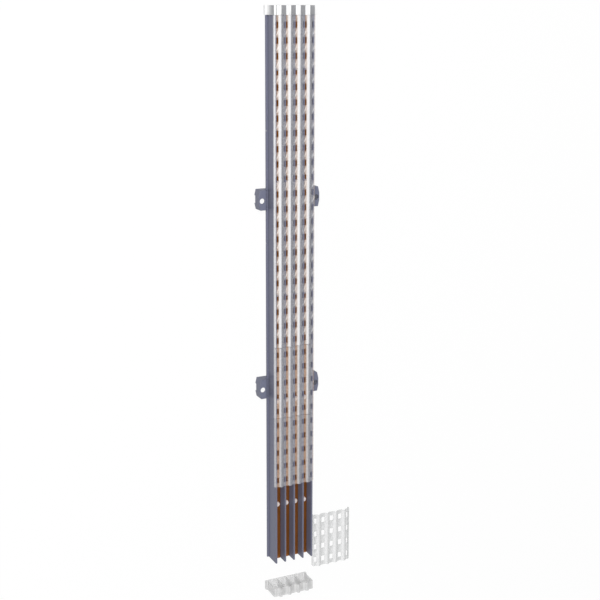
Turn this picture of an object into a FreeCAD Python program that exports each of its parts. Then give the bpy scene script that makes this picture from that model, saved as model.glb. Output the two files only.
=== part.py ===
import FreeCAD, Part
import math
import os

from FreeCAD import Vector

# Four-pole insulated busbar trunking, lying on the backs of its mounting feet.
# All sizes are in millimetres. X is the width, Y runs along the trunking with the capped top end at +Y,
# and Z points out of the front. The origin is the middle of the four foot holes on the mounting plane.

# Trough: moulded modules end to end, each a back plate with side lips and five walls
module_length = 189.2
module_count = 5
wall_count = 5
wall_pitch = 17.0
wall_thickness = 2.7
trough_depth = 32.5
back_thickness = 2.5
lip_width = 3.3
lip_slit = 0.7

# Bar seats: two ribs in each channel, which carry the bar and take its screws between them
seat_height = 7.5
seat_thickness = 2.0

# Copper bars and their hexagon-headed screws
bar_thickness = 5.0
bar_side_clearance = 0.25
screw_diameter = 5.0
screw_length = 12.0
screw_hole_clearance = 0.25
screw_seat_clearance = 0.1
screw_above_middle = 8.4
head_sides = 6
head_across_flats = 8.0
head_height = 3.5

# Corrugated front covers with rows of slots
cover_thickness = 1.4
cover_side_clearance = 0.2
flange_height = 4.6
valley_half_width = 4.5
flank_run = 2.0
ridge_rise = 3.6
row_pitch = 25.0
slot_length = 10.0
slot_width = 6.8
outer_slot_width = 4.8
outer_slot_inset = 1.6
cover_gap = 0.8
first_cover_lead = 2.4
long_cover_rows = 22
short_cover_rows = 5
loose_cover_rows = 4

# End caps: a box whose rim laps over the trough's end and lips, with partitions in line with the walls
cap_wall = 2.0
cap_lip_wall = 1.0
cap_clearance = 0.3
cap_overlap = 1.0
cap_chamber = 12.5
partition_thickness = 2.0

# Mounting feet clipped over the lips, each a hollow stand-off block beside the trough
foot_spacing = 327.5
feet_above_middle = 4.75
foot_length = 34.0
foot_width = 12.6
foot_height = 20.3
foot_standoff = 8.0
foot_gap = 4.35
foot_wall = 1.4
foot_end_wall = 2.5
foot_plate = 3.0
foot_bow = 2.4
foot_ledge = 8.0
foot_claw = 2.0
foot_claw_thickness = 1.8
foot_clearance = 0.2
foot_hole_diameter = 9.0
foot_hole_offset = 11.0
foot_hole_drop = 1.3
foot_notch_length = 13.0
foot_notch_depth = 3.6

# Where the taken-off cover and cap lie on the floor, along the trunking from its open end
loose_cover_left = 53.7
loose_cover_above_end = 58.8
loose_cap_middle = 1.1
loose_cap_below_end = 50.2

# How far a cutting tool reaches past the face that it cuts
cut_margin = 1.0

# Levels above the mounting plane
trough_back = foot_standoff
floor_level = trough_back + back_thickness
bar_back = floor_level + seat_height
bar_front = bar_back + bar_thickness
wall_front = trough_back + trough_depth
flange_end = wall_front - flange_height
cap_back = trough_back - cap_clearance - cap_wall

# Places across the width
wall_places = [wall_pitch * (i - (wall_count - 1) / 2) for i in range(wall_count)]
channel_places = [(a + b) / 2 for a, b in zip(wall_places, wall_places[1:])]
trough_half = wall_places[-1] + wall_thickness / 2
lip_edge = trough_half + lip_width
bar_width = wall_pitch - wall_thickness - 2 * bar_side_clearance
seat_spacing = screw_diameter + 2 * screw_seat_clearance + seat_thickness
flange_inside = trough_half + cover_side_clearance
flange_outside = flange_inside + cover_thickness

# Places along the length
trough_length = module_length * module_count
trough_top = trough_length / 2 - feet_above_middle
trough_bottom = trough_top - trough_length
module_places = [trough_bottom + module_length * (i + 0.5) for i in range(module_count)]
screw_places = [middle + screw_above_middle for middle in module_places]
cap_height = cap_overlap + cap_chamber + cap_wall
first_cover_top = trough_top - cap_overlap - cover_gap
loose_cover_top = trough_bottom + loose_cover_above_end
loose_cap_rim = trough_bottom - loose_cap_below_end

# Corrugation: a wall of even thickness leans its corners by this much from one face to the other
flank_angle = math.atan2(ridge_rise, flank_run)
corner_lean = math.tan(flank_angle / 2)


def extruded(points, start, length):
    """Closed outline of (x, z) points at y = start, carried along +Y."""
    corners = [Vector(x, start, z) for x, z in points]
    wire = Part.makePolygon(corners + corners[:1])
    return Part.Face(wire).extrude(Vector(0, length, 0))


def block(x_range, y_range, z_range):
    """Rectangular tool between three pairs of limits."""
    low = Vector(x_range[0], y_range[0], z_range[0])
    size = [high - small for small, high in (x_range, y_range, z_range)]
    return Part.makeBox(*size, low)


def standing(points, bottom, top):
    """Closed outline of (x, y) points, carried along +Z from the bottom to the top."""
    corners = [Vector(x, y, bottom) for x, y in points]
    wire = Part.makePolygon(corners + corners[:1])
    return Part.Face(wire).extrude(Vector(0, 0, top - bottom))


def upright(diameter, x, y, bottom, top):
    """Round bar along Z."""
    return Part.makeCylinder(diameter / 2, top - bottom, Vector(x, y, bottom))


def save(shape, name):
    """Write one node."""
    shape.exportStep("parts/" + name + ".step")


def trough_outline():
    """Section of the trough without its lips: back plate, walls, and two seat ribs in each channel."""
    points = [(-trough_half, trough_back), (trough_half, trough_back)]
    for i in reversed(range(wall_count)):
        right = wall_places[i] + wall_thickness / 2
        left = wall_places[i] - wall_thickness / 2
        if i < wall_count - 1:
            points.append((right, floor_level))
        points += [(right, wall_front), (left, wall_front)]
        if i == 0:
            break
        points.append((left, floor_level))
        for side in (1, -1):
            rib = channel_places[i - 1] + side * seat_spacing / 2
            points.append((rib + seat_thickness / 2, floor_level))
            points.append((rib + seat_thickness / 2, bar_back))
            points.append((rib - seat_thickness / 2, bar_back))
            points.append((rib - seat_thickness / 2, floor_level))
    return points


def trough_module(middle):
    """One moulded length of trough, with its lips cut short at both ends."""
    start = middle - module_length / 2
    body = extruded(trough_outline(), start, module_length)
    lip_length = module_length - lip_slit
    lips = block((-lip_edge, lip_edge), (middle - lip_length / 2, middle + lip_length / 2),
                 (trough_back, floor_level))
    return body.fuse(lips).removeSplitter()


def bar(x):
    """Flat copper bar on its seats, drilled for its screws."""
    across = (x - bar_width / 2, x + bar_width / 2)
    blank = block(across, (trough_bottom, trough_top), (bar_back, bar_front))
    hole = screw_diameter + 2 * screw_hole_clearance
    return blank.cut([upright(hole, x, y, bar_back - cut_margin, bar_front + cut_margin)
                      for y in screw_places])


def bar_screw(x, y):
    """Hexagon-headed screw, one corner of the head towards +X."""
    corner_radius = head_across_flats / 2 / math.cos(math.pi / head_sides)
    turns = [2 * math.pi * i / head_sides for i in range(head_sides)]
    corners = [(x + corner_radius * math.cos(a), y + corner_radius * math.sin(a)) for a in turns]
    head = standing(corners, bar_front, bar_front + head_height)
    shank = upright(screw_diameter, x, y, bar_front - screw_length, bar_front)
    return head.fuse(shank).removeSplitter()


def front_line(rise):
    """Corrugated line across the front, from left to right, rise above the wall edges."""
    half = valley_half_width + (cover_thickness - rise) * corner_lean
    low = wall_front + rise
    high = low + ridge_rise
    points = []
    for left, right in zip(wall_places, wall_places[1:]):
        points.append((left + half, low))
        points.append((left + half + flank_run, high))
        points.append((right - half - flank_run, high))
        points.append((right - half, low))
    return points


def slot_column(i):
    """Middle and width of the slots over one wall; the outer columns are narrower and sit further in."""
    if 0 < i < wall_count - 1:
        return wall_places[i], slot_width
    inward = math.copysign(outer_slot_inset, -wall_places[i])
    return wall_places[i] + inward, outer_slot_width


def cover(top, rows, lead=0):
    """Corrugated cover with side flanges, from y = top downwards; the lead sets its slots lower."""
    length = rows * row_pitch - cover_gap + lead
    outer = wall_front + cover_thickness
    outline = [(-flange_outside, flange_end), (-flange_outside, outer)]
    outline += front_line(cover_thickness)
    outline += [(flange_outside, outer), (flange_outside, flange_end), (flange_inside, flange_end)]
    outline += [(flange_inside, wall_front)]
    outline += reversed(front_line(0))
    outline += [(-flange_inside, wall_front), (-flange_inside, flange_end)]
    shell = extruded(outline, top - length, length)
    slots = []
    for i in range(wall_count):
        middle, width = slot_column(i)
        across = (middle - width / 2, middle + width / 2)
        for row in range(rows):
            y = top - lead + cover_gap / 2 - (row + 0.5) * row_pitch
            along = (y - slot_length / 2, y + slot_length / 2)
            slots.append(block(across, along, (wall_front - cut_margin, outer + cut_margin)))
    return shell.cut(slots)


def cap_outline(wall, lip_wall, rise):
    """Section of a cap with walls of its own round trough and lips, its front rise above the wall edges."""
    lip_side = lip_edge + cap_clearance + lip_wall
    side = trough_half + cap_clearance + wall
    shoulder = floor_level + cap_clearance + lip_wall
    left = [(-lip_side, trough_back - cap_clearance - wall), (-lip_side, shoulder), (-side, shoulder),
            (-side, wall_front + rise)]
    right = [(-x, z) for x, z in reversed(left)]
    return left + front_line(rise) + right


def end_cap():
    """Cap with its rim at y = 0 and its end wall towards +Y, at the level where it fits the trough."""
    outside = extruded(cap_outline(cap_wall, cap_lip_wall, cover_thickness), 0, cap_height)
    inside = extruded(cap_outline(0, 0, 0), 0, cap_height - cap_wall)
    half = partition_thickness / 2
    partition_top = wall_front + cover_thickness / 2
    partitions = [block((x - half, x + half), (cap_overlap, cap_height), (cap_back, partition_top))
                  for x in wall_places[1:-1]]
    return outside.cut(inside).fuse(partitions).removeSplitter()


def foot_plan(inner, outer, half):
    """Plan of the foot, half its length to both sides; the outer side bows out to its notched middle."""
    flat = foot_notch_length / 2
    taper = foot_bow / (foot_length / 2 - flat)
    end = outer - taper * (half - flat)
    points = [(inner, -half), (end, -half), (outer, -flat), (outer, flat), (end, half), (inner, half)]
    return [(x, y + foot_hole_drop) for x, y in points]


def foot():
    """Foot for the +X lip, its hole at y = 0: a hollow block, open inwards, with a hook at each end."""
    inner = lip_edge + foot_gap
    outer = inner + foot_width
    ledge = lip_edge - foot_ledge
    claw_end = lip_edge - foot_claw
    groove = lip_edge + foot_clearance
    claw_back = floor_level + foot_clearance
    claw_front = claw_back + foot_claw_thickness
    outline = [(ledge, 0), (outer, 0), (outer, foot_height), (inner, foot_height), (inner, claw_front),
               (claw_end, claw_front), (claw_end, claw_back), (groove, claw_back), (groove, trough_back),
               (ledge, trough_back)]
    half = foot_length / 2
    body = extruded(outline, foot_hole_drop - half, foot_length)
    body = body.common(standing(foot_plan(ledge, outer, half), 0, foot_height))
    hollow = foot_plan(ledge - cut_margin, outer - foot_wall, half - foot_end_wall)
    chamber = standing(hollow, -cut_margin, foot_height - foot_plate)
    hole = upright(foot_hole_diameter, lip_edge + foot_hole_offset, 0, 0, foot_height + cut_margin)
    notch_start = foot_hole_drop - foot_notch_length / 2
    notch = block((outer - 2 * foot_wall, outer + cut_margin),
                  (notch_start, notch_start + foot_notch_length), (-cut_margin, foot_notch_depth))
    return body.cut([chamber, hole, notch]).removeSplitter()


os.makedirs("parts", exist_ok=True)

for number, middle in enumerate(reversed(module_places), 1):
    save(trough_module(middle), f"trough_module_{number}")

for number, x in enumerate(channel_places, 1):
    save(bar(x), f"copper_bar_{number}")
    save(Part.makeCompound([bar_screw(x, y) for y in screw_places]), f"bar_screws_{number}")

save(cover(first_cover_top, long_cover_rows, first_cover_lead), "front_cover_long")
cover_top = first_cover_top - first_cover_lead - long_cover_rows * row_pitch
for place in ("middle", "lower"):
    save(cover(cover_top, short_cover_rows), f"front_cover_{place}")
    cover_top -= short_cover_rows * row_pitch

loose_cover = cover(loose_cover_top, loose_cover_rows)
loose_cover.translate(Vector(loose_cover_left + flange_outside, 0, -flange_end))
save(loose_cover, "loose_cover")

top_cap = end_cap()
top_cap.translate(Vector(0, trough_top - cap_overlap, 0))
save(top_cap, "top_cap")

loose_cap = end_cap().mirror(Vector(0, 0, 0), Vector(0, 1, 0))
loose_cap.translate(Vector(loose_cap_middle, loose_cap_rim, -cap_back))
save(loose_cap, "loose_cap")

for height, y in (("upper", foot_spacing / 2), ("lower", -foot_spacing / 2)):
    right_foot = foot()
    left_foot = right_foot.mirror(Vector(0, 0, 0), Vector(1, 0, 0))
    for side, shape in (("left", left_foot), ("right", right_foot)):
        shape.translate(Vector(0, y, 0))
        save(shape, f"foot_{side}_{height}")
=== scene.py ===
"""Looks of a four-pole insulated busbar trunking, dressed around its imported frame."""

import logging
import math
from dataclasses import dataclass, field
from enum import Enum

import bmesh
import bpy
import numpy as np
from mathutils import Matrix, Vector


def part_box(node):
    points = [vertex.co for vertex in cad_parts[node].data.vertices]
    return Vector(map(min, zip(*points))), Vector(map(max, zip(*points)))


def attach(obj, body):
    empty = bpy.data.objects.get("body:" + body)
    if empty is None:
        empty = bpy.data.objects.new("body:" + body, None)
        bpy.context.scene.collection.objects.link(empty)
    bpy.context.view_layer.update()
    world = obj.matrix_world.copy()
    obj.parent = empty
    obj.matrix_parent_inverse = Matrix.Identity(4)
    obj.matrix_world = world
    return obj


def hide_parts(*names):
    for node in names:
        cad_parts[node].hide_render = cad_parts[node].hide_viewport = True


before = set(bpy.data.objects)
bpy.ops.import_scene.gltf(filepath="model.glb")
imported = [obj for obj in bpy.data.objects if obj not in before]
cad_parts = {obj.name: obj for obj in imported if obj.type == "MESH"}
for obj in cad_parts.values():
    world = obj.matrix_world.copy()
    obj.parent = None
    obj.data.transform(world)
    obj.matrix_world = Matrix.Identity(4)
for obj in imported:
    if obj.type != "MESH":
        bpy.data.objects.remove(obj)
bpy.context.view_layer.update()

# The script's sizes are millimetres, unless a comment says metres, and MM turns them to Blender's metres.
MM = 0.001

# Points nearer than this are merged (metres), and edges sharper than this aren't shaded smooth.
MERGE_DISTANCE = 1e-6
SHARP_DEGREES = 35.0

WHITE = (1.0, 1.0, 1.0, 1.0)
BODY = "root"
# Attribute that carries the painted light of the clear pieces: how far a point is painted as lit flank rather
# than shaded level face.
LIGHT_PAINT = "light_paint"

# Most of an edge that a rounded corner may take up.
CORNER_SHARE = 0.45

# How near to a slot's edge a grid place counts as on it (millimetres), and the decimals of grid places.
EDGE_TOLERANCE = 0.01
PLACE_DECIMALS = 4

# The trough's section, shared by every piece that seats on its walls (millimetres).
WALL_COUNT = 5
WALL_PITCH = 17.0
WALL_PLACES = WALL_PITCH * (np.arange(WALL_COUNT) - (WALL_COUNT - 1) / 2)
CHANNEL_PLACES = (WALL_PLACES[:-1] + WALL_PLACES[1:]) / 2

# Stripes along the trunking: share of the wall pitch, counted from a wall's middle, and the value there.
Stops = tuple[tuple[float, float], ...]
# Where the covers' haze is painted tan, as light reflected from the copper bars beside each wall.
COPPER_GLOW_STOPS: Stops = ((0.0, 0.6), (0.04, 1.0), (0.26, 1.0), (0.36, 0.0), (0.95, 0.0), (1.0, 0.6))

log = logging.getLogger("busbar_trunking")


class Slot(Enum):
    """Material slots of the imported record."""

    TROUGH = "trough_plastic"
    FOOT = "foot_plastic"
    COPPER = "copper"
    STEEL = "plated_steel"
    COVER = "clear_cover"
    CAP = "cap_plastic"


class CoverPlace(Enum):
    """The four front covers, by the node that each one stands for."""

    LONG = "front_cover_long"
    MIDDLE = "front_cover_middle"
    LOWER = "front_cover_lower"
    LOOSE = "loose_cover"


def linear(code: str) -> tuple[float, float, float, float]:
    """Turn an sRGB hex colour into linear RGBA.

    A value v from 0 to 1 becomes v / 12.92 up to 0.04045, and ((v + 0.055) / 1.055)^2.4 above it.

    Args:
        code: Colour as "#RRGGBB".

    Returns:
        Red, green and blue in linear light, and an alpha of 1.
    """
    values = np.array([int(code[i:i + 2], 16) for i in (1, 3, 5)]) / 255
    light = np.where(values <= 0.04045, values / 12.92, ((values + 0.055) / 1.055) ** 2.4)
    return (*light.tolist(), 1.0)


def box_mm(node: str) -> tuple[np.ndarray, np.ndarray]:
    """Lowest and highest corner of a CAD node in millimetres."""
    low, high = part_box(node)
    return np.array(low) / MM, np.array(high) / MM


def numbered(stem: str) -> range:
    """Numbers of the CAD nodes whose names are this stem and a number from 1 up."""
    return range(1, 1 + sum(name.startswith(stem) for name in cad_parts))


def rounded(points: np.ndarray, reach: float | np.ndarray, steps: int, closed: bool) -> np.ndarray:
    """Round the corners of a line.

    A corner P becomes the curve (1-t)^2 A + 2t(1-t) P + t^2 B for t from 0 to 1, where A and B lie on its two
    edges, the reach away from P or at most a fixed share of the edge.

    Args:
        points: Corners as an (n, 2) array.
        reach: How far along each edge the rounding runs, for all corners or as an (n, 1) array.
        steps: Straight pieces in each rounded corner.
        closed: Whether the last corner joins the first; an open line keeps its two ends.

    Returns:
        The rounded line as an (m, 2) array.
    """
    before = np.roll(points, 1, axis=0) - points
    after = np.roll(points, -1, axis=0) - points
    before_length = np.linalg.norm(before, axis=1, keepdims=True)
    after_length = np.linalg.norm(after, axis=1, keepdims=True)
    start = points + before / before_length * np.minimum(reach, CORNER_SHARE * before_length)
    end = points + after / after_length * np.minimum(reach, CORNER_SHARE * after_length)
    t = np.linspace(0, 1, steps + 1)[None, :, None]
    curve = (1 - t) ** 2 * start[:, None] + 2 * t * (1 - t) * points[:, None] + t ** 2 * end[:, None]
    if closed:
        return curve.reshape(-1, 2)
    return np.concatenate([points[:1], curve[1:-1].reshape(-1, 2), points[-1:]])


def tube_faces(stations: int, ring: int) -> list[list[int]]:
    """Quads between closed rings carried along a path, with a flat face on the first and the last ring.

    Args:
        stations: Number of rings.
        ring: Points in each ring.

    Returns:
        Faces as lists of point numbers, ring by ring.
    """
    index = np.arange(stations * ring).reshape(stations, ring)
    turned = np.roll(index, -1, axis=1)
    quads = np.stack([index[:-1], turned[:-1], turned[1:], index[1:]], axis=-1).reshape(-1, 4)
    return quads.tolist() + [index[0].tolist(), index[-1].tolist()]


def finished(name: str, mesh: bpy.types.Mesh) -> bpy.types.Object:
    """Shade a mesh smooth below the sharp angle and put it into the scene.

    Args:
        name: Name of the piece.
        mesh: Its mesh, in place.

    Returns:
        The new object, at the origin.
    """
    mesh.polygons.foreach_set("use_smooth", np.ones(len(mesh.polygons), dtype=bool))
    mesh.set_sharp_from_angle(angle=math.radians(SHARP_DEGREES))
    piece = bpy.data.objects.new(name, mesh)
    bpy.context.scene.collection.objects.link(piece)
    return piece


@dataclass
class Shape:
    """Points in millimetres and faces of one piece, gathered from several surfaces."""

    points: list[np.ndarray] = field(default_factory=list)
    faces: list[list[int]] = field(default_factory=list)
    light_paint: list[np.ndarray] = field(default_factory=list)
    count: int = 0

    def add(self, points: np.ndarray, faces: list[list[int]], light_paint: np.ndarray | None = None) -> None:
        """Add one surface.

        Args:
            points: Its points, with x, y and z on the last axis.
            faces: Its faces, numbered from its own first point.
            light_paint: How much painted light each point carries, from 0 to 1, where the finish asks for it.
        """
        flat = points.reshape(-1, 3)
        self.faces += [[number + self.count for number in face] for face in faces]
        self.points.append(flat)
        self.light_paint.append(np.zeros(len(flat)) if light_paint is None else light_paint)
        self.count += len(flat)

    def to_object(self, name: str) -> bpy.types.Object:
        """Make the piece: doubles merged, empty faces dropped, normals outwards, shaded smooth.

        Args:
            name: Name of the piece.

        Returns:
            The new object, at the origin.
        """
        mesh = bpy.data.meshes.new(name)
        mesh.from_pydata(np.concatenate(self.points) * MM, [], self.faces)
        mesh.attributes.new(LIGHT_PAINT, "FLOAT", "POINT").data.foreach_set("value", np.concatenate(self.light_paint))
        work = bmesh.new()
        work.from_mesh(mesh)
        bmesh.ops.remove_doubles(work, verts=work.verts, dist=MERGE_DISTANCE)
        bmesh.ops.dissolve_degenerate(work, edges=work.edges, dist=MERGE_DISTANCE)
        bmesh.ops.recalc_face_normals(work, faces=work.faces)
        work.to_mesh(mesh)
        work.free()
        return finished(name, mesh)


def soften(piece: bpy.types.Object, width: float, segments: int) -> None:
    """Round the sharp edges of a piece with a Bevel modifier.

    Args:
        piece: The piece.
        width: Width of the rounding in millimetres.
        segments: Steps across the rounding.
    """
    bevel = piece.modifiers.new("rounded_edges", "BEVEL")
    bevel.width = width * MM
    bevel.segments = segments
    bevel.limit_method = "ANGLE"
    bevel.angle_limit = math.radians(SHARP_DEGREES)
    bevel.use_clamp_overlap = False


def hang(piece: bpy.types.Object, material: bpy.types.Material, slot: Slot, *nodes: str) -> None:
    """Give a piece its finish and let it stand for CAD nodes.

    Args:
        piece: The piece.
        material: Its finish.
        slot: The record's material slot; not used.
        *nodes: The nodes that it replaces.
    """
    piece.data.materials.clear()
    piece.data.materials.append(material)
    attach(piece, BODY)
    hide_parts(*nodes)
    log.info("%s stands for %s, %d faces", piece.name, ", ".join(nodes), len(piece.data.polygons))


def add_node(tree: bpy.types.NodeTree, kind: str, inputs: dict | None = None, **settings) -> bpy.types.Node:
    """Add one node with its settings, values and links.

    Args:
        tree: The node tree.
        kind: Blender's name for the node's type.
        inputs: Values for its sockets, by name or number; an output socket is linked.
        **settings: Values for the node's own options.

    Returns:
        The new node.
    """
    node = tree.nodes.new(kind)
    for name, value in settings.items():
        setattr(node, name, value)
    for name, value in (inputs or {}).items():
        if isinstance(value, bpy.types.NodeSocket):
            tree.links.new(value, node.inputs[name])
        else:
            node.inputs[name].default_value = value
    return node


def start_material(name: str) -> tuple[bpy.types.Material, bpy.types.NodeTree, bpy.types.NodeSocket]:
    """Start a material with its shader output and the piece's own coordinates.

    Args:
        name: Name of the real material and how it is made.

    Returns:
        The material, its emptied node tree, and the Object coordinate socket in metres.
    """
    material = bpy.data.materials.new(name)
    material.use_nodes = True
    tree = material.node_tree
    tree.nodes.clear()
    return material, tree, add_node(tree, "ShaderNodeTexCoord").outputs["Object"]


def per_metre(size: float) -> float:
    """Pattern scale, in repeats per metre, of a size in millimetres."""
    return 1 / (size * MM)


def pitch_stripes(tree: bpy.types.NodeTree, place: bpy.types.NodeSocket, middle: float,
                  stops: Stops) -> tuple[bpy.types.NodeSocket, bpy.types.NodeSocket]:
    """Stripes along the piece that repeat with the walls.

    The value at x is what the stops give, in a straight line from one to the next, at the fraction of
    (x - middle) / wall pitch.

    Args:
        tree: The material's node tree.
        place: The piece's own coordinates.
        middle: Where the piece's middle wall lies along x, in millimetres.
        stops: The stripes over one pitch.

    Returns:
        The place across in wall pitches from the middle wall, and the stripes' value.
    """
    parts = add_node(tree, "ShaderNodeSeparateXYZ", {"Vector": place})
    across = add_node(tree, "ShaderNodeMath",
                      {0: parts.outputs["X"], 1: per_metre(WALL_PITCH), 2: -middle / WALL_PITCH},
                      operation="MULTIPLY_ADD")
    share = add_node(tree, "ShaderNodeMath", {0: across.outputs["Value"]}, operation="FRACT")
    ramp = add_node(tree, "ShaderNodeValToRGB", {"Fac": share.outputs["Value"]})
    elements = ramp.color_ramp.elements
    elements.remove(elements[1])
    elements[0].position = stops[0][0]
    for position, _ in stops[1:]:
        elements.new(position)
    for element, (_, value) in zip(elements, stops):
        element.color = (value, value, value, 1)
    return across.outputs["Value"], ramp.outputs["Color"]


@dataclass(frozen=True)
class SatinMoulding:
    """Filled thermoplastic, injection moulded in a spark-eroded tool.

    The eye gets a dry satin face with a fine even grain and faint flow streaks along the length.
    """

    name: str
    colour: str
    streak_colour: str
    roughness: float
    grain: float = 1.2
    streak_width: float = 9.0
    streak_length: float = 140.0
    grain_depth: float = 0.035
    grain_strength: float = 0.6
    polish_change: float = 0.06
    ior: float = 1.5

    def make(self) -> bpy.types.Material:
        """Build the material; the real 0.2 mm grain is drawn coarser so that it shows.

        Returns:
            The material.
        """
        material, tree, place = start_material(self.name)
        along = (per_metre(self.streak_width), per_metre(self.streak_length), per_metre(self.streak_width))
        stretched = add_node(tree, "ShaderNodeMapping", {"Vector": place, "Scale": along})
        streaks = add_node(tree, "ShaderNodeTexNoise",
                           {"Vector": stretched.outputs["Vector"], "Scale": 1.0, "Detail": 3.0})
        grain = add_node(tree, "ShaderNodeTexNoise",
                         {"Vector": place, "Scale": per_metre(self.grain), "Detail": 2.0})
        colour = add_node(tree, "ShaderNodeMix",
                          {0: streaks.outputs["Fac"], 6: linear(self.colour), 7: linear(self.streak_colour)},
                          data_type="RGBA")
        polish = add_node(tree, "ShaderNodeMapRange",
                          {"Value": grain.outputs["Fac"], "To Min": self.roughness - self.polish_change,
                           "To Max": self.roughness + self.polish_change})
        relief = add_node(tree, "ShaderNodeBump",
                          {"Height": grain.outputs["Fac"], "Distance": self.grain_depth * MM,
                           "Strength": self.grain_strength})
        shader = add_node(tree, "ShaderNodeBsdfPrincipled",
                          {"Base Color": colour.outputs[2], "Roughness": polish.outputs["Result"],
                           "IOR": self.ior, "Normal": relief.outputs["Normal"]})
        add_node(tree, "ShaderNodeOutputMaterial", {"Surface": shader.outputs["BSDF"]})
        return material


@dataclass(frozen=True)
class DrawnCopper:
    """Hard-drawn electrolytic copper bar, lightly tarnished.

    The eye gets a brown metal with fine draw lines along the bar and slow changes from bright to dull. Under
    the covers the copper is painted lighter and more orange, as painted light for the light that reaches it
    there; where the bar lies open below the covers it is the darker, browner copy, as painted shade, and it
    changes over the fade length under the last one.
    """

    covered_from: float
    name: str = "drawn_copper_tarnished"
    # The covered pair is the copper painted lighter under the covers, as painted light; the open pair is the
    # darker, shaded copy.
    bright: str = "#BE7832"
    dull: str = "#A26428"
    shaded_open_bright: str = "#A2622A"
    shaded_open_dull: str = "#8C5522"
    roughness: float = 0.42
    line_width: float = 0.9
    line_length: float = 70.0
    line_depth: float = 0.03
    line_strength: float = 0.5
    stain: float = 22.0
    shine_range: tuple[float, float] = (0.12, 0.42)
    fade_length: float = 17.5
    polish_change: tuple[float, float] = (-0.1, 0.12)
    metal: float = 0.75

    def make(self) -> bpy.types.Material:
        """Build the material; the real 0.1 mm draw lines are drawn coarser so that they show.

        Returns:
            The material.
        """
        material, tree, place = start_material(self.name)
        along = (per_metre(self.line_width), per_metre(self.line_length), per_metre(self.line_width))
        stretched = add_node(tree, "ShaderNodeMapping", {"Vector": place, "Scale": along})
        lines = add_node(tree, "ShaderNodeTexNoise",
                         {"Vector": stretched.outputs["Vector"], "Scale": 1.0, "Detail": 4.0})
        stains = add_node(tree, "ShaderNodeTexNoise",
                          {"Vector": place, "Scale": per_metre(self.stain), "Detail": 3.0})
        share = add_node(tree, "ShaderNodeMath",
                         {0: lines.outputs["Fac"], 1: stains.outputs["Fac"]}, operation="MULTIPLY")
        shine = add_node(tree, "ShaderNodeMapRange",
                         {"Value": share.outputs["Value"], "From Min": self.shine_range[0],
                          "From Max": self.shine_range[1]})
        # Lit and shaded copies of one copper: the covered colour is painted lighter, the bare one darker,
        # blended along the bar.
        lit_covered = add_node(tree, "ShaderNodeMix",
                           {0: shine.outputs["Result"], 6: linear(self.dull), 7: linear(self.bright)},
                           data_type="RGBA")
        shaded_bare = add_node(tree, "ShaderNodeMix",
                        {0: shine.outputs["Result"], 6: linear(self.shaded_open_dull),
                         7: linear(self.shaded_open_bright)}, data_type="RGBA")
        parts = add_node(tree, "ShaderNodeSeparateXYZ", {"Vector": place})
        under = add_node(tree, "ShaderNodeMapRange",
                         {"Value": parts.outputs["Y"], "From Min": self.covered_from * MM,
                          "From Max": (self.covered_from + self.fade_length) * MM})
        colour = add_node(tree, "ShaderNodeMix",
                          {0: under.outputs["Result"], 6: shaded_bare.outputs[2], 7: lit_covered.outputs[2]},
                          data_type="RGBA")
        polish = add_node(tree, "ShaderNodeMapRange",
                          {"Value": lines.outputs["Fac"], "To Min": self.roughness + self.polish_change[0],
                           "To Max": self.roughness + self.polish_change[1]})
        relief = add_node(tree, "ShaderNodeBump",
                          {"Height": lines.outputs["Fac"], "Distance": self.line_depth * MM,
                           "Strength": self.line_strength})
        shader = add_node(tree, "ShaderNodeBsdfPrincipled",
                          {"Base Color": colour.outputs[2], "Roughness": polish.outputs["Result"],
                           "Metallic": self.metal, "Normal": relief.outputs["Normal"]})
        add_node(tree, "ShaderNodeOutputMaterial", {"Surface": shader.outputs["BSDF"]})
        return material


@dataclass(frozen=True)
class ZincPlate:
    """Steel screw, zinc plated and passivated.

    The eye gets a bright silvery head with a warm cast and small cloudy patches; its near-white, barely
    metallic colour is a painted reflection that stands in for the plated steel's shine.
    """

    name: str = "zinc_plated_steel"
    # A near-white, barely metallic head: painted reflection in place of the plated steel's shine.
    bright: str = "#FFF3EC"
    cloudy: str = "#F2E2D9"
    roughness: float = 0.34
    metal: float = 0.1
    patch: float = 2.5
    polish_change: tuple[float, float] = (-0.08, 0.1)

    def make(self) -> bpy.types.Material:
        """Build the material.

        Returns:
            The material.
        """
        material, tree, place = start_material(self.name)
        patches = add_node(tree, "ShaderNodeTexNoise",
                           {"Vector": place, "Scale": per_metre(self.patch), "Detail": 4.0})
        colour = add_node(tree, "ShaderNodeMix",
                          {0: patches.outputs["Fac"], 6: linear(self.bright), 7: linear(self.cloudy)},
                          data_type="RGBA")
        polish = add_node(tree, "ShaderNodeMapRange",
                          {"Value": patches.outputs["Fac"], "To Min": self.roughness + self.polish_change[0],
                           "To Max": self.roughness + self.polish_change[1]})
        shader = add_node(tree, "ShaderNodeBsdfPrincipled",
                          {"Base Color": colour.outputs[2], "Roughness": polish.outputs["Result"],
                           "Metallic": self.metal})
        add_node(tree, "ShaderNodeOutputMaterial", {"Surface": shader.outputs["BSDF"]})
        return material


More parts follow.
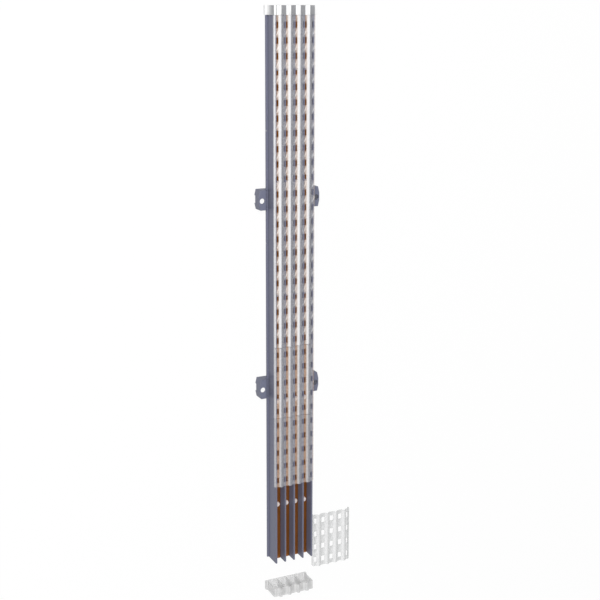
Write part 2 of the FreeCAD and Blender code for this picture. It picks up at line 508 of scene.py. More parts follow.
@dataclass(frozen=True)
class ClearWithPaintedLight:
    """Clear polycarbonate, injection moulded, with the lamp's light and shade painted into its colour and
    haze.

    The eye looks through the level valleys and ridges at the bars and walls behind a light haze. The flanks
    that lean towards the lamp carry a painted highlight and show as white stripes, and the level faces carry
    painted shade. Where copper glow stops are given, the haze beside each wall is painted tan, as painted
    light reflected from the copper.
    """

    name: str
    # Opacity of level faces and of flanks; the flanks' extra opacity is part of the painted highlight.
    level_cover: float
    flank_cover: float
    # The painted lit white of the flanks, and the painted shade colour of the level faces.
    colour: str = "#FCFCFD"
    shaded_level_colour: str = "#F4F6FC"
    roughness: float = 0.38
    gloss: float = 0.9
    haze: float = 14.0
    # Painted tan glow, light reflected from the copper, beside each wall.
    copper_glow_colour: str = "#FFE0C8"
    copper_glow_stops: Stops = ()
    middle: float = 0.0
    ripple: tuple[float, float] = (0.95, 1.05)
    polish_change: tuple[float, float] = (-0.06, 0.1)
    ior: float = 1.58

    def light_paint(self, tree: bpy.types.NodeTree, place: bpy.types.NodeSocket) -> bpy.types.NodeSocket:
        """Socket that runs from 0 on level wall, painted as shaded, to 1 on a flank with painted highlight.

        Args:
            tree: The material's node tree.
            place: The piece's own coordinates, for finishes whose painted light depends on them.

        Returns:
            The painted light attribute, which the cover's surface brings along.
        """
        return add_node(tree, "ShaderNodeAttribute", attribute_name=LIGHT_PAINT).outputs["Fac"]

    def make(self) -> bpy.types.Material:
        """Build the material.

        Returns:
            The material.
        """
        material, tree, place = start_material(self.name)
        light_paint = self.light_paint(tree, place)
        cloud = add_node(tree, "ShaderNodeTexNoise",
                         {"Vector": place, "Scale": per_metre(self.haze), "Detail": 3.0})
        ripple = add_node(tree, "ShaderNodeMapRange",
                          {"Value": cloud.outputs["Fac"], "To Min": self.ripple[0], "To Max": self.ripple[1]})
        # The opacity rises with the painted light, so lit flanks are more opaque.
        share = add_node(tree, "ShaderNodeMapRange",
                         {"Value": light_paint, "To Min": self.level_cover, "To Max": self.flank_cover})
        cover = add_node(tree, "ShaderNodeMath",
                         {0: share.outputs["Result"], 1: ripple.outputs["Result"]},
                         operation="MULTIPLY", use_clamp=True)
        # Level faces take the painted shade colour, tinted by the painted copper glow; lit flanks take the
        # painted white.
        level = linear(self.shaded_level_colour)
        if self.copper_glow_stops:
            _, copper_glow = pitch_stripes(tree, place, self.middle, self.copper_glow_stops)
            level = add_node(tree, "ShaderNodeMix", {0: copper_glow, 6: level, 7: linear(self.copper_glow_colour)},
                             data_type="RGBA").outputs[2]
        colour = add_node(tree, "ShaderNodeMix", {0: light_paint, 6: level, 7: linear(self.colour)},
                          data_type="RGBA")
        polish = add_node(tree, "ShaderNodeMapRange",
                          {"Value": cloud.outputs["Fac"], "To Min": self.roughness + self.polish_change[0],
                           "To Max": self.roughness + self.polish_change[1]})
        shader = add_node(tree, "ShaderNodeBsdfPrincipled",
                          {"Base Color": colour.outputs[2], "Roughness": polish.outputs["Result"],
                           "IOR": self.ior, "Specular IOR Level": self.gloss,
                           "Alpha": cover.outputs["Value"]})
        add_node(tree, "ShaderNodeOutputMaterial", {"Surface": shader.outputs["BSDF"]})
        return material


@dataclass(frozen=True)
class RibbedClear(ClearWithPaintedLight):
    """The same plastic on an end cap, whose front face has painted lit and shaded stripes in line with the
    covers' flanks.

    The eye sees painted white highlight stripes and painted grey shade stripes side by side on the front,
    which is painted all white left of the first wall, and side walls with painted light from back to front.
    """

    # Painted light on the side walls, from their back to their front, and the painted lit and shaded stripes
    # over one wall pitch.
    side: tuple[float, float] = (0.8, 0.8)
    side_depth: tuple[float, float] = (18.0, 34.0)
    stripe_stops: Stops = ((0.03, 0.0), (0.09, 1.0), (0.42, 1.0), (0.5, 0.0))

    def light_paint(self, tree: bpy.types.NodeTree, place: bpy.types.NodeSocket) -> bpy.types.NodeSocket:
        """Socket of painted light that steps between 0 and 1 over each wall pitch of the front face.

        Args:
            tree: The material's node tree.
            place: The piece's own coordinates.

        Returns:
            The painted stripes where the piece's front mark is 1, on its front, and elsewhere painted light
            that runs from the back to the front of the side walls.
        """
        front = super().light_paint(tree, place)
        across, ribs = pitch_stripes(tree, place, self.middle, self.stripe_stops)
        # Everything left of the first wall is painted as lit white.
        edge = add_node(tree, "ShaderNodeMath", {0: across, 1: (1 - WALL_COUNT) / 2}, operation="LESS_THAN")
        stripes = add_node(tree, "ShaderNodeMath", {0: ribs, 1: edge.outputs["Value"]}, operation="MAXIMUM")
        parts = add_node(tree, "ShaderNodeSeparateXYZ", {"Vector": place})
        walls = add_node(tree, "ShaderNodeMapRange",
                         {"Value": parts.outputs["Z"],
                          "From Min": self.side_depth[0] * MM, "From Max": self.side_depth[1] * MM,
                          "To Min": self.side[0], "To Max": self.side[1]})
        return add_node(tree, "ShaderNodeMix",
                        {0: front, 2: walls.outputs["Result"], 3: stripes.outputs["Value"]}).outputs[0]


@dataclass
class TroughModule:
    """One moulded length of the trough: back plate, side lips, five walls and the bar seats."""

    number: int
    wall_thickness: float = 2.7
    back_thickness: float = 2.5
    lip_width: float = 3.3
    lip_slit: float = 0.7
    seat_height: float = 7.5
    seat_thickness: float = 2.0
    seat_spacing: float = 7.2
    corner: float = 0.45
    corner_steps: int = 3

    @property
    def node(self) -> str:
        """The CAD node that this module stands for."""
        return f"trough_module_{self.number}"

    @property
    def half_width(self) -> float:
        """Distance from the middle to an outer wall's outer face."""
        return WALL_PLACES[-1] + self.wall_thickness / 2

    def section(self) -> np.ndarray:
        """Outline across the trough as (x, z), from the left lip along the back and over the walls.

        Returns:
            The closed, rounded outline.
        """
        low, high = box_mm(self.node)
        back, front = low[2], high[2]
        floor = back + self.back_thickness
        lip = self.half_width + self.lip_width
        upright = np.array([[-1, 0], [-1, 1], [1, 1], [1, 0]])
        wall = upright * (self.wall_thickness / 2, front - floor)
        rib = upright * (self.seat_thickness / 2, self.seat_height)
        walls = [wall + (x, floor) for x in WALL_PLACES]
        ribs = [[rib + (x + side * self.seat_spacing / 2, floor) for side in (-1, 1)] for x in CHANNEL_PLACES]
        inner = [walls[0]]
        for pair, next_wall in zip(ribs, walls[1:]):
            inner += [*pair, next_wall]
        front_line = np.concatenate(inner)
        outline = np.concatenate([[(lip, back), (-lip, back), (-lip, floor)], front_line, [(lip, floor)]])
        return rounded(outline, self.corner, self.corner_steps, closed=True)

    def build(self) -> bpy.types.Object:
        """Carry the section along the module; in the last bit at each end the lips are cut back to the wall.

        Returns:
            The module's piece.
        """
        low, high = box_mm(self.node)
        outline = self.section()
        half = self.half_width
        slit = self.lip_slit / 2
        places = np.array([low[1], low[1] + slit, low[1] + slit, high[1] - slit, high[1] - slit, high[1]])
        limits = np.array([half, half, high[0], high[0], half, half])
        x = np.clip(outline[None, :, 0], -limits[:, None], limits[:, None])
        y = np.broadcast_to(places[:, None], x.shape)
        z = np.broadcast_to(outline[None, :, 1], x.shape)
        shape = Shape()
        shape.add(np.stack([x, y, z], axis=-1), tube_faces(len(places), len(outline)))
        return shape.to_object(f"trough_moulding_{self.number}")

    def dress(self, piece: bpy.types.Object, finish: bpy.types.Material) -> None:
        """Give the piece its satin plastic."""
        hang(piece, finish, Slot.TROUGH, self.node)


@dataclass
class BusBar:
    """One flat copper bar with its row of screws, one for each module of the trough."""

    number: int
    corner: float = 0.7
    corner_steps: int = 4
    end_chamfer: float = 0.5
    head_sides: int = 6
    head_across_flats: float = 8.0
    shank_diameter: float = 5.0
    tip_length: float = 1.0
    tip_share: float = 0.6
    crown_share: float = 0.8
    crown_ring: float = 0.6
    chamfer_degrees: float = 36.0
    turns: int = 48

    @property
    def node(self) -> str:
        """The bar's CAD node."""
        return f"copper_bar_{self.number}"

    @property
    def screw_node(self) -> str:
        """The CAD node of the bar's screws."""
        return f"bar_screws_{self.number}"

    def build(self) -> bpy.types.Object:
        """Carry a rounded rectangle along the bar, drawn in by the chamfer at both ends.

        Returns:
            The bar's piece.
        """
        low, high = box_mm(self.node)
        middle = (low + high) / 2
        half = (high - low) / 2
        corners = np.array([[-1, -1], [1, -1], [1, 1], [-1, 1]]) * (half[0], half[2])
        ring = rounded(corners, self.corner, self.corner_steps, closed=True)
        places = np.array([low[1], low[1] + self.end_chamfer, high[1] - self.end_chamfer, high[1]])
        inset = np.array([self.end_chamfer, 0, 0, self.end_chamfer])
        x = middle[0] + ring[None, :, 0] * (1 - inset[:, None] / half[0])
        z = middle[2] + ring[None, :, 1] * (1 - inset[:, None] / half[2])
        y = np.broadcast_to(places[:, None], x.shape)
        shape = Shape()
        shape.add(np.stack([x, y, z], axis=-1), tube_faces(len(places), len(ring)))
        return shape.to_object(f"copper_bar_drawn_{self.number}")

    def screw_places(self) -> np.ndarray:
        """Middles of the screws along the bar, evenly spaced over the screws' node.

        Returns:
            One place along y for each screw.
        """
        low, high = box_mm(self.screw_node)
        half = self.head_across_flats / 2
        return np.linspace(low[1] + half, high[1] - half, len(numbered("trough_module_")))

    def build_screws(self) -> bpy.types.Object:
        """Rings of r(turn) and z from the head's top to the shank's tip.

        The head's hexagon has r = half its width over flats / cos(turn from the nearest flat's middle). Past
        the flat crown's edge the head falls away by tan(chamfer) times the distance from that edge.

        Returns:
            One piece with all the screws of this bar.
        """
        low, high = box_mm(self.screw_node)
        bar_front = box_mm(self.node)[1][2]
        turn = 2 * np.pi * np.arange(self.turns) / self.turns
        sector = 2 * np.pi / self.head_sides
        from_flat = np.mod(turn, sector) - sector / 2
        flat = self.head_across_flats / 2
        hexagon = flat / np.cos(from_flat)
        shank = np.full(self.turns, self.shank_diameter / 2)
        crown = self.crown_share * flat
        drop = np.tan(np.radians(self.chamfer_degrees)) * (hexagon - crown)
        top = high[2]
        level = np.ones(self.turns)
        radii = np.stack([self.crown_ring * crown * level, crown * level, hexagon, hexagon, shank, shank,
                          self.tip_share * shank])
        levels = np.stack([top * level, top * level, top - drop, bar_front * level, bar_front * level,
                           (low[2] + self.tip_length) * level, low[2] * level])
        x = (low[0] + high[0]) / 2 + radii * np.cos(turn)
        faces = tube_faces(len(radii), self.turns)
        shape = Shape()
        for place in self.screw_places():
            shape.add(np.stack([x, place + radii * np.sin(turn), levels], axis=-1), faces)
        return shape.to_object(f"hexagon_screws_{self.number}")

    def dress(self, piece: bpy.types.Object, finish: bpy.types.Material) -> None:
        """Give the bar its copper."""
        hang(piece, finish, Slot.COPPER, self.node)

    def dress_screws(self, piece: bpy.types.Object, finish: bpy.types.Material) -> None:
        """Give the screws their zinc."""
        hang(piece, finish, Slot.STEEL, self.screw_node)


def spaced(own: np.ndarray, needed: np.ndarray, least: float = 0.12) -> np.ndarray:
    """Join two sets of grid places.

    A needed place is dropped where it is too close to the one before it or to the line's ends, and a place of
    the line where it is too close to a needed one.

    Args:
        own: Places of the line itself, whose ends always stay.
        needed: Places that the cuts need.
        least: Smallest distance between places.

    Returns:
        The joined places in order.
    """
    needed = np.unique(np.round(needed, PLACE_DECIMALS))
    needed = needed[np.concatenate([[True], np.diff(needed) > least])]
    needed = needed[(needed > own.min() + least) & (needed < own.max() - least)]
    free = np.abs(own[:, None] - needed[None, :]).min(axis=1) > least
    return np.sort(np.concatenate([own[free], needed]))


def shell(outer: np.ndarray, inner: np.ndarray, solid: np.ndarray,
          values: np.ndarray) -> tuple[np.ndarray, list[list[int]], np.ndarray]:
    """Closed wall between two grids of points, without the cells that are cut out.

    Args:
        outer: Points of the outer face as an (m, n, 3) grid.
        inner: Points of the inner face, on the same grid.
        solid: Which of the (m - 1, n - 1) cells are there.
        values: One value for each point of the grid.

    Returns:
        The points that are used, the faces (both faces' solid cells, and a quad across the wall at each edge
        between a solid cell and an open one or the outside), and the points' values.
    """
    rows, columns = outer.shape[:2]
    front = np.arange(rows * columns).reshape(rows, columns)
    back = front + rows * columns
    cells = [np.stack([grid[:-1, :-1], grid[1:, :-1], grid[1:, 1:], grid[:-1, 1:]], axis=-1)[solid]
             for grid in (front, back)]
    padded = np.pad(solid, 1)
    along = padded[:-1, 1:-1] != padded[1:, 1:-1]
    across = padded[1:-1, :-1] != padded[1:-1, 1:]
    rims = [np.stack([front[:, :-1], front[:, 1:], back[:, 1:], back[:, :-1]], axis=-1)[along],
            np.stack([front[:-1], front[1:], back[1:], back[:-1]], axis=-1)[across]]
    faces = np.concatenate(cells + rims)
    used, numbers = np.unique(faces, return_inverse=True)
    points = np.concatenate([outer.reshape(-1, 3), inner.reshape(-1, 3)])[used]
    return points, numbers.reshape(-1, 4).tolist(), np.tile(values.ravel(), 2)[used]


@dataclass
class FrontCover:
    """One corrugated cover: slotted valleys over the walls, ridges over the bars, and two side flanges.

    The lead is extra plain wall before the first row, and the top lap is how far the cover reaches past its
    solid's upper end. Of the painted light, a slot's rim keeps the rim's share, and a flange fades to the
    hem's.
    """

    place: CoverPlace
    rows: int
    lead: float = 0.0
    thickness: float = 1.4
    flange_height: float = 4.6
    valley_half_width: float = 4.5
    flank_run: float = 2.0
    ridge_rise: float = 3.6
    bend: float = 4.0
    flange_bend: float = 1.6
    bend_steps: int = 4
    edge: float = 0.15
    edge_segments: int = 1
    # Painted light: how fast it grows with the lean, the lamp's side it leans to, its share on faces leaning
    # away, on slot rims and at the hems.
    light_paint_spread: float = 0.8
    lamp_side: tuple[float, float] = (-0.84, 0.54)
    other_side: float = 0.2
    rim_light_paint: float = 0.0
    hem_light_paint: float = 0.25
    top_lap: float = 0.0
    row_pitch: float = 25.0
    slot_length: float = 10.0
    slot_width: float = 6.8
    outer_slot_width: float = 4.8
    outer_slot_inset: float = 1.6
    slot_corner: float = 0.8
    corner_cut: float = 0.3
    cover_gap: float = 0.8
    dimple_half_width: float = 1.8
    dimple_half_length: float = 6.0
    dimple_degrees: float = 24.0
    dimple_depth: float = 0.45
    dimple_steps: tuple[int, int] = (9, 7)

    def middle_line(self, half: float) -> np.ndarray:
        """Line through the middle of the wall as (x, height over the wall edges), from flange to flange.

        A flank rises by the ridge's rise over its run. It starts half the thickness times tan(half its slope)
        outside the valley's half width, so that the wall's outer face has that half width.

        Args:
            half: Distance from the middle to a flange's outer face.

        Returns:
            The rounded line.
        """
        lean = math.tan(math.atan2(self.ridge_rise, self.flank_run) / 2)
        foot = self.valley_half_width + self.thickness / 2 * lean
        low = self.thickness / 2
        high = low + self.ridge_rise
        edge = half - self.thickness / 2
        left, right = WALL_PLACES[:-1], WALL_PLACES[1:]
        crest = foot + self.flank_run
        x = np.stack([left + foot, left + crest, right - crest, right - foot], axis=1)
        z = np.broadcast_to([low, high, high, low], x.shape)
        waves = np.stack([x, z], axis=-1).reshape(-1, 2)
        start = [(-edge, -self.flange_height), (-edge, low)]
        end = [(edge, low), (edge, -self.flange_height)]
        corners = np.concatenate([start, waves, end])
        reach = np.full((len(corners), 1), self.bend)
        reach[[1, -2]] = self.flange_bend
        return rounded(corners, reach, self.bend_steps, closed=False)

    def columns(self) -> tuple[np.ndarray, np.ndarray]:
        """Place the five slot columns; the outer ones are narrower and sit further in.

        Returns:
            The columns' middles along x, and their widths.
        """
        middles = WALL_PLACES.copy()
        middles[0] += self.outer_slot_inset
        middles[-1] -= self.outer_slot_inset
        widths = np.full(WALL_COUNT, self.slot_width)
        widths[[0, -1]] = self.outer_slot_width
        return middles, widths

    def cuts(self, half_size: np.ndarray) -> np.ndarray:
        """Grid offsets that a row of slots needs on each side of its middle, with its rounded corners.

        Args:
            half_size: Half width or half length of each slot.

        Returns:
            Offsets, one row for each slot.
        """
        steps = np.array([self.slot_corner, self.corner_cut * self.slot_corner, 0.0])
        inner = half_size[:, None] - steps
        return np.concatenate([-inner, inner], axis=1)

    def build(self) -> bpy.types.Object:
        """Offset the middle line by half the wall to both sides, over a grid that follows the slots.

        A point of the outer face is the line's point plus half the thickness along its normal, less the
        dimple between each two slots. The inner face is the same to the other side, without dimples. Cells
        inside a slot are left out, and each edge of what is left joins the two faces. The slots' corner
        points move onto an arc about the corner's own centre.

        Returns:
            The cover's piece, with its painted light attribute.
        """
        low, high = box_mm(self.place.value)
        line = self.middle_line((high[0] - low[0]) / 2)
        run = np.concatenate([[0], np.cumsum(np.linalg.norm(np.diff(line, axis=0), axis=1))])
        middles, widths = self.columns()
        dimple_x, dimple_y = self.dimple_cuts()
        slot_cuts = middles[:, None] + self.cuts(widths / 2)
        across_cuts = np.concatenate([slot_cuts.ravel(), np.add.outer(middles, dimple_x).ravel()])
        stations = spaced(run, np.interp(across_cuts, line[:, 0], run))
        x = np.interp(stations, run, line[:, 0])
        height = np.interp(stations, run, line[:, 1])
        slope = np.stack([np.gradient(x, stations), np.gradient(height, stations)], axis=-1)
        slope /= np.linalg.norm(slope, axis=-1, keepdims=True)
        normal = np.stack([-slope[:, 1], slope[:, 0]], axis=-1)

        first = high[1] - self.lead + self.cover_gap / 2
        slot_rows = first - (np.arange(self.rows) + 0.5) * self.row_pitch
        dimple_rows = (slot_rows[:-1] + slot_rows[1:]) / 2
        row_cuts = slot_rows[:, None] + self.cuts(np.full(self.rows, self.slot_length / 2))
        between = dimple_rows[:, None] + dimple_y
        y = spaced(np.array([low[1], high[1] + self.top_lap]),
                   np.concatenate([row_cuts.ravel(), between.ravel()]))

        column = np.abs(x[:, None] - middles).argmin(axis=1)
        off_x = x - middles[column]
        off_y = y - slot_rows[np.abs(y[:, None] - slot_rows).argmin(axis=1)]
        off_dimple = y - dimple_rows[np.abs(y[:, None] - dimple_rows).argmin(axis=1)]
        dimple, lean_x, lean_y = self.dimple(off_x[:, None], off_dimple[None, :])
        shift_x, shift_y = self.corner_shift(off_x, off_y, widths[column])

        outer = np.stack([x, height], axis=-1) + normal * self.thickness / 2
        inner = np.stack([x, height], axis=-1) - normal * self.thickness / 2
        centre = (low[0] + high[0]) / 2
        base = low[2] + self.flange_height
        layers = [np.stack([centre + face[:, None, 0] + shift_x, y[None, :] + shift_y,
                            base + face[:, None, 1] - sunk], axis=-1)
                  for face, sunk in ((outer, dimple), (inner, np.zeros_like(dimple)))]

        in_slot = np.abs(off_x) < widths[column] / 2 + EDGE_TOLERANCE
        in_row = np.abs(off_y) < self.slot_length / 2 + EDGE_TOLERANCE
        open_cells = (in_slot[:-1] & in_slot[1:])[:, None] & (in_row[:-1] & in_row[1:])[None, :]
        # Painted highlight on faces that lean towards the lamp; the dimples' slopes paint the glints between
        # the slots.
        light_paint = self.light_paint(normal[:, None, 0] + lean_x, lean_y)
        light_paint *= np.where(in_slot[:, None] & in_row[None, :], self.rim_light_paint, 1)
        light_paint *= np.clip(1 + height[:, None] / self.flange_height, self.hem_light_paint, 1)
        shape = Shape()
        shape.add(*shell(layers[0], layers[1], ~open_cells, light_paint))
        piece = shape.to_object(f"slotted_{self.place.value}")
        soften(piece, self.edge, self.edge_segments)
        return piece

    def dimple_axes(self) -> tuple[np.ndarray, np.ndarray]:
        """Turn the dimple's two half sizes by its slant.

        Returns:
            Its directions across and along, as (x, y), each as long as its half size.
        """
        turn = math.radians(self.dimple_degrees)
        across = np.array([math.cos(turn), -math.sin(turn)]) * self.dimple_half_width
        along = np.array([math.sin(turn), math.cos(turn)]) * self.dimple_half_length
        return across, along

    def dimple_cuts(self) -> tuple[np.ndarray, np.ndarray]:
        """Spread grid places over the box round a dimple, which is sqrt(across^2 + along^2) to each side.

        Returns:
            Offsets from the dimple's middle along x, and along y.
        """
        reach = np.hypot(*self.dimple_axes())
        steps_x, steps_y = self.dimple_steps
        return reach[0] * np.linspace(-1, 1, steps_x), reach[1] * np.linspace(-1, 1, steps_y)

    def dimple(self, off_x: np.ndarray, off_y: np.ndarray) -> tuple[np.ndarray, np.ndarray, np.ndarray]:
        """Depth of the long slanting dimple between two slots, and how its floor leans.

        With u and v the place across and along it over its half sizes, the depth is the full depth times
        1 - u^2 - v^2 where that is above 0, and the lean is the slope of the depth.

        Args:
            off_x: Distance of each grid column from the dimple's middle, as a column.
            off_y: Distance of each grid row from the dimple's middle, as a row.

        Returns:
            The depth, the lean along x and the lean along y for the whole grid.
        """
        across, along = (axis / (axis @ axis) for axis in self.dimple_axes())
        u = across[0] * off_x + across[1] * off_y
        v = along[0] * off_x + along[1] * off_y
        left = np.clip(1 - u ** 2 - v ** 2, 0, None)
        slope = -2 * self.dimple_depth * (left > 0)
        return (self.dimple_depth * left, slope * (u * across[0] + v * along[0]),
                slope * (u * across[1] + v * along[1]))

    def corner_shift(self, off_x: np.ndarray, off_y: np.ndarray,
                     width: np.ndarray) -> tuple[np.ndarray, np.ndarray]:
        """Move the points in a slot's corner square onto the corner's arc.

        With (a, b) the point's place from the arc's centre, the point goes to radius * (a, b) / |(a, b)|.

        Args:
            off_x: Distance of each grid column from its slot's middle.
            off_y: Distance of each grid row from its slot's middle.
            width: Slot width at each grid column.

        Returns:
            Shift along x and along y for the whole grid.
        """
        radius = self.slot_corner
        a = (np.abs(off_x) - width / 2 + radius)[:, None]
        b = (np.abs(off_y) - self.slot_length / 2 + radius)[None, :]
        limit = radius + EDGE_TOLERANCE
        inside = (a > 0) & (b > 0) & (a < limit) & (b < limit)
        stretch = np.where(inside, radius / np.maximum(np.hypot(a, b), EDGE_TOLERANCE) - 1, 0)
        return a * stretch * np.sign(off_x)[:, None], b * stretch * np.sign(off_y)[None, :]

    def light_paint(self, lean_x: np.ndarray, lean_y: np.ndarray) -> np.ndarray:
        """Painted light on the wall, from 0 on level wall to 1 on flanks that lean towards the lamp.

        With g the lean towards the lamp's side over the same for a flank, the value is g^spread, and a fixed
        share of |g|^spread where the wall leans the other way.

        Args:
            lean_x: How far the face leans across the cover, as its normal's part along x.
            lean_y: The same along the cover.

        Returns:
            One value for each point of the grid.
        """
        flank = math.sin(math.atan2(self.ridge_rise, self.flank_run)) * abs(self.lamp_side[0])
        lean = np.clip((lean_x * self.lamp_side[0] + lean_y * self.lamp_side[1]) / flank, -1, 1)
        return np.abs(lean) ** self.light_paint_spread * np.where(lean > 0, 1, self.other_side)

    def dress(self, piece: bpy.types.Object, finish: bpy.types.Material) -> None:
        """Give the cover its clear plastic."""
        hang(piece, finish, Slot.COVER, self.place.value)


@dataclass
class RoundedMoulding:
    """A small moulding whose solid has the right shape and only lacks its rounded edges."""

    node: str
    slot: Slot
    edge: float = 0.5
    segments: int = 3
    front_lean: float = 0.3
    flat_degrees: float = 1.0

    def build(self) -> bpy.types.Object:
        """Copy the solid's surface, join its triangles into flat faces, mark the front ones, round its edges.

        A face is a front one where its normal's part along z is over the front lean.

        Returns:
            The moulding's piece.
        """
        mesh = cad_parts[self.node].data.copy()
        mesh.name = f"{self.node}_moulded"
        work = bmesh.new()
        work.from_mesh(mesh)
        bmesh.ops.remove_doubles(work, verts=work.verts, dist=MERGE_DISTANCE)
        bmesh.ops.dissolve_limit(work, angle_limit=math.radians(self.flat_degrees), verts=work.verts,
                                 edges=work.edges)
        work.to_mesh(mesh)
        work.free()
        normals = np.empty(3 * len(mesh.polygons))
        mesh.polygons.foreach_get("normal", normals)
        # The front faces are marked in the painted light attribute, which a cap's finish uses to place its
        # painted stripes.
        front = (normals[2::3] > self.front_lean).astype(float)
        mesh.attributes.new(LIGHT_PAINT, "FLOAT", "FACE").data.foreach_set("value", front)
        piece = finished(mesh.name, mesh)
        soften(piece, self.edge, self.segments)
        return piece

    def dress(self, piece: bpy.types.Object, finish: bpy.types.Material) -> None:
        """Give the moulding its plastic."""
        hang(piece, finish, self.slot, self.node)


@dataclass
class Studio:
    """White floor, even white surroundings, one large soft lamp, and the camera of the photograph.

    Lengths here are metres, apart from the camera's lens and sensor.
    """

    floor_half: float = 12.0
    floor_drop: float = 0.0003
    floor_colour: str = "#B8B8B8"
    floor_glow: float = 0.94
    sky_light: float = 0.33
    lamp_place: tuple[float, float, float] = (-1.7, 1.5, 3.7)
    lamp_size: float = 1.9
    lamp_power: float = 152.0
    camera_place: tuple[float, float, float] = (-0.83003, 0.49998, 1.7962)
    camera_right: tuple[float, float, float] = (0.90238, 0.00202, 0.43094)
    camera_down: tuple[float, float, float] = (-0.08255, -0.98066, 0.17745)
    camera_forward: tuple[float, float, float] = (0.42296, -0.19570, -0.88476)
    lens: float = 71.325
    sensor: float = 36.0
    shift: tuple[float, float] = (0.00045, -0.11424)

    def seen_directly(self, tree: bpy.types.NodeTree) -> bpy.types.NodeSocket:
        """Tell rays that show the studio itself from rays that light the part.

        Args:
            tree: The node tree of the floor or the world.

        Returns:
            A socket that is 1 for rays from the camera, from gloss and through clear walls, else 0.
        """
        path = add_node(tree, "ShaderNodeLightPath")
        gloss = add_node(tree, "ShaderNodeMath",
                         {0: path.outputs["Is Camera Ray"], 1: path.outputs["Is Glossy Ray"]},
                         operation="MAXIMUM")
        clear = add_node(tree, "ShaderNodeMath",
                         {0: gloss.outputs["Value"], 1: path.outputs["Is Transmission Ray"]},
                         operation="MAXIMUM")
        return clear.outputs["Value"]

    def build_floor(self) -> None:
        """Lay the floor; seen directly it glows most of the way to white, so that a soft shadow stays."""
        corners = np.array([[-1, -1], [1, -1], [1, 1], [-1, 1]]) * self.floor_half
        mesh = bpy.data.meshes.new("studio_floor")
        level = np.full((len(corners), 1), -self.floor_drop)
        mesh.from_pydata(np.hstack([corners, level]), [], [[0, 1, 2, 3]])
        floor = bpy.data.objects.new("studio_floor", mesh)
        bpy.context.scene.collection.objects.link(floor)
        material, tree, _ = start_material("white_paper_floor")
        seen = self.seen_directly(tree)
        paper = add_node(tree, "ShaderNodeMix", {0: seen, 6: linear(self.floor_colour), 7: WHITE},
                         data_type="RGBA")
        matte = add_node(tree, "ShaderNodeBsdfDiffuse", {"Color": paper.outputs[2]})
        glow = add_node(tree, "ShaderNodeEmission", {"Color": WHITE, "Strength": 1.0})
        share = add_node(tree, "ShaderNodeMath", {0: seen, 1: self.floor_glow}, operation="MULTIPLY")
        mixed = add_node(tree, "ShaderNodeMixShader",
                         {0: share.outputs["Value"], 1: matte.outputs["BSDF"], 2: glow.outputs["Emission"]})
        add_node(tree, "ShaderNodeOutputMaterial", {"Surface": mixed.outputs["Shader"]})
        mesh.materials.append(material)

    def build_light(self) -> None:
        """Light the part evenly from all round, and from the upper left by the soft lamp."""
        world = bpy.data.worlds.new("white_surroundings")
        world.use_nodes = True
        tree = world.node_tree
        tree.nodes.clear()
        strength = add_node(tree, "ShaderNodeMapRange",
                            {"Value": self.seen_directly(tree), "To Min": self.sky_light, "To Max": 1.0})
        sky = add_node(tree, "ShaderNodeBackground",
                       {"Color": WHITE, "Strength": strength.outputs["Result"]})
        add_node(tree, "ShaderNodeOutputWorld", {"Surface": sky.outputs["Background"]})
        bpy.context.scene.world = world
        lamp = bpy.data.lights.new("soft_lamp", "AREA")
        lamp.shape = "DISK"
        lamp.size = self.lamp_size
        lamp.energy = self.lamp_power
        holder = bpy.data.objects.new("soft_lamp", lamp)
        holder.location = self.lamp_place
        holder.rotation_euler = (-Vector(self.lamp_place)).to_track_quat("-Z", "Y").to_euler()
        bpy.context.scene.collection.objects.link(holder)

    def build_camera(self) -> None:
        """Set up the camera from its place, its axes and its lens."""
        camera = bpy.data.cameras.new("camera")
        camera.sensor_width = self.sensor
        camera.lens = self.lens
        camera.shift_x, camera.shift_y = self.shift
        camera.clip_end = 2 * self.floor_half
        holder = bpy.data.objects.new("camera", camera)
        up, backward = np.negative(self.camera_down), np.negative(self.camera_forward)
        axes = np.array([self.camera_right, up, backward]).T
        holder.matrix_world = Matrix.Translation(self.camera_place) @ Matrix(axes.tolist()).to_4x4()
        bpy.context.scene.collection.objects.link(holder)
        bpy.context.scene.camera = holder


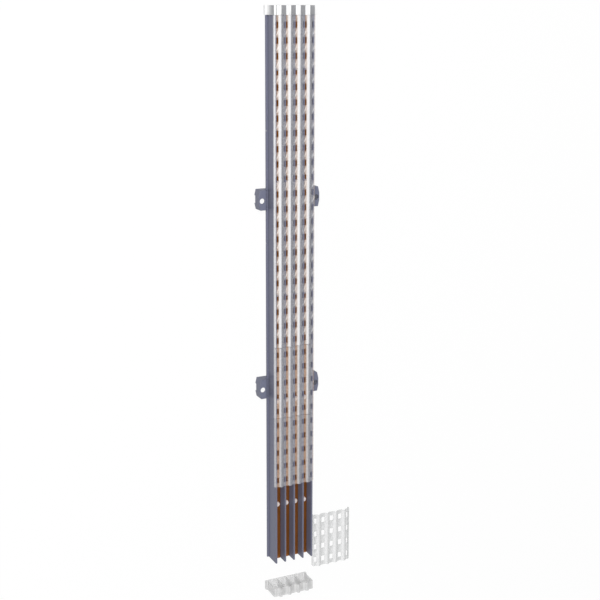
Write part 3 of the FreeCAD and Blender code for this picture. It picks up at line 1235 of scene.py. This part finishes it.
def main() -> None:
    """Build and dress every piece, then the studio."""
    logging.basicConfig(level=logging.INFO, format="%(name)s: %(message)s")
    trough = SatinMoulding("filled_polyamide_blue_grey", "#6D6F82", "#696B7E", roughness=0.48).make()
    foot = SatinMoulding("filled_polyamide_foot", "#707387", "#6B6E82", roughness=0.5,
                         streak_length=40.0).make()
    copper = DrawnCopper(covered_from=box_mm(CoverPlace.LOWER.value)[0][1]).make()
    zinc = ZincPlate().make()

    for number in numbered("trough_module_"):
        module = TroughModule(number)
        module.dress(module.build(), trough)
    for number in numbered("copper_bar_"):
        bar = BusBar(number)
        bar.dress(bar.build(), copper)
        bar.dress_screws(bar.build_screws(), zinc)
    # Each cover's finish paints light and shade: white lit flanks, a shaded level colour, and tan copper glow
    # beside the walls.
    covers = (
        (FrontCover(CoverPlace.LONG, rows=22, lead=2.4, top_lap=0.6),
         ClearWithPaintedLight("clear_polycarbonate_long", level_cover=0.13, flank_cover=0.9, copper_glow_colour="#FFEADA",
                      copper_glow_stops=COPPER_GLOW_STOPS)),
        (FrontCover(CoverPlace.MIDDLE, rows=5, light_paint_spread=2.0, dimple_depth=0.15),
         ClearWithPaintedLight("clear_polycarbonate_middle", level_cover=0.18, flank_cover=0.7, copper_glow_stops=COPPER_GLOW_STOPS)),
        (FrontCover(CoverPlace.LOWER, rows=5, light_paint_spread=2.0, dimple_depth=0.15),
         ClearWithPaintedLight("clear_polycarbonate_lower", level_cover=0.18, flank_cover=0.42, copper_glow_stops=COPPER_GLOW_STOPS)),
        (FrontCover(CoverPlace.LOOSE, rows=4),
         ClearWithPaintedLight("clear_polycarbonate_loose", level_cover=0.5, flank_cover=0.3, colour="#F4F4F5",
                      shaded_level_colour="#DADBDB")),
    )
    for cover, finish in covers:
        cover.dress(cover.build(), finish.make())
    loose_low, loose_high = box_mm("loose_cap")
    # The caps' finishes paint lit and shaded stripes; the top cap's grey level colour is painted shade, and
    # its side walls are painted less white towards the front.
    caps = (
        ("top_cap",
         RibbedClear("clear_polycarbonate_top_cap", level_cover=0.6, flank_cover=0.95, colour="#FFFFFF",
                     shaded_level_colour="#A8A9AD", side=(1.0, 0.1))),
        ("loose_cap",
         RibbedClear("clear_polycarbonate_loose_cap", level_cover=0.5, flank_cover=0.55, colour="#F0F0F0",
                     shaded_level_colour="#E0E0E0", middle=(loose_low[0] + loose_high[0]) / 2)),
    )
    for node, finish in caps:
        cap = RoundedMoulding(node, Slot.CAP, edge=0.25, segments=2)
        cap.dress(cap.build(), finish.make())
    for node in ("foot_left_upper", "foot_left_lower", "foot_right_upper", "foot_right_lower"):
        stand = RoundedMoulding(node, Slot.FOOT)
        stand.dress(stand.build(), foot)

    studio = Studio()
    studio.build_floor()
    studio.build_light()
    studio.build_camera()
    bpy.context.scene.view_settings.view_transform = "Standard"


if __name__ == "__main__":
    main()
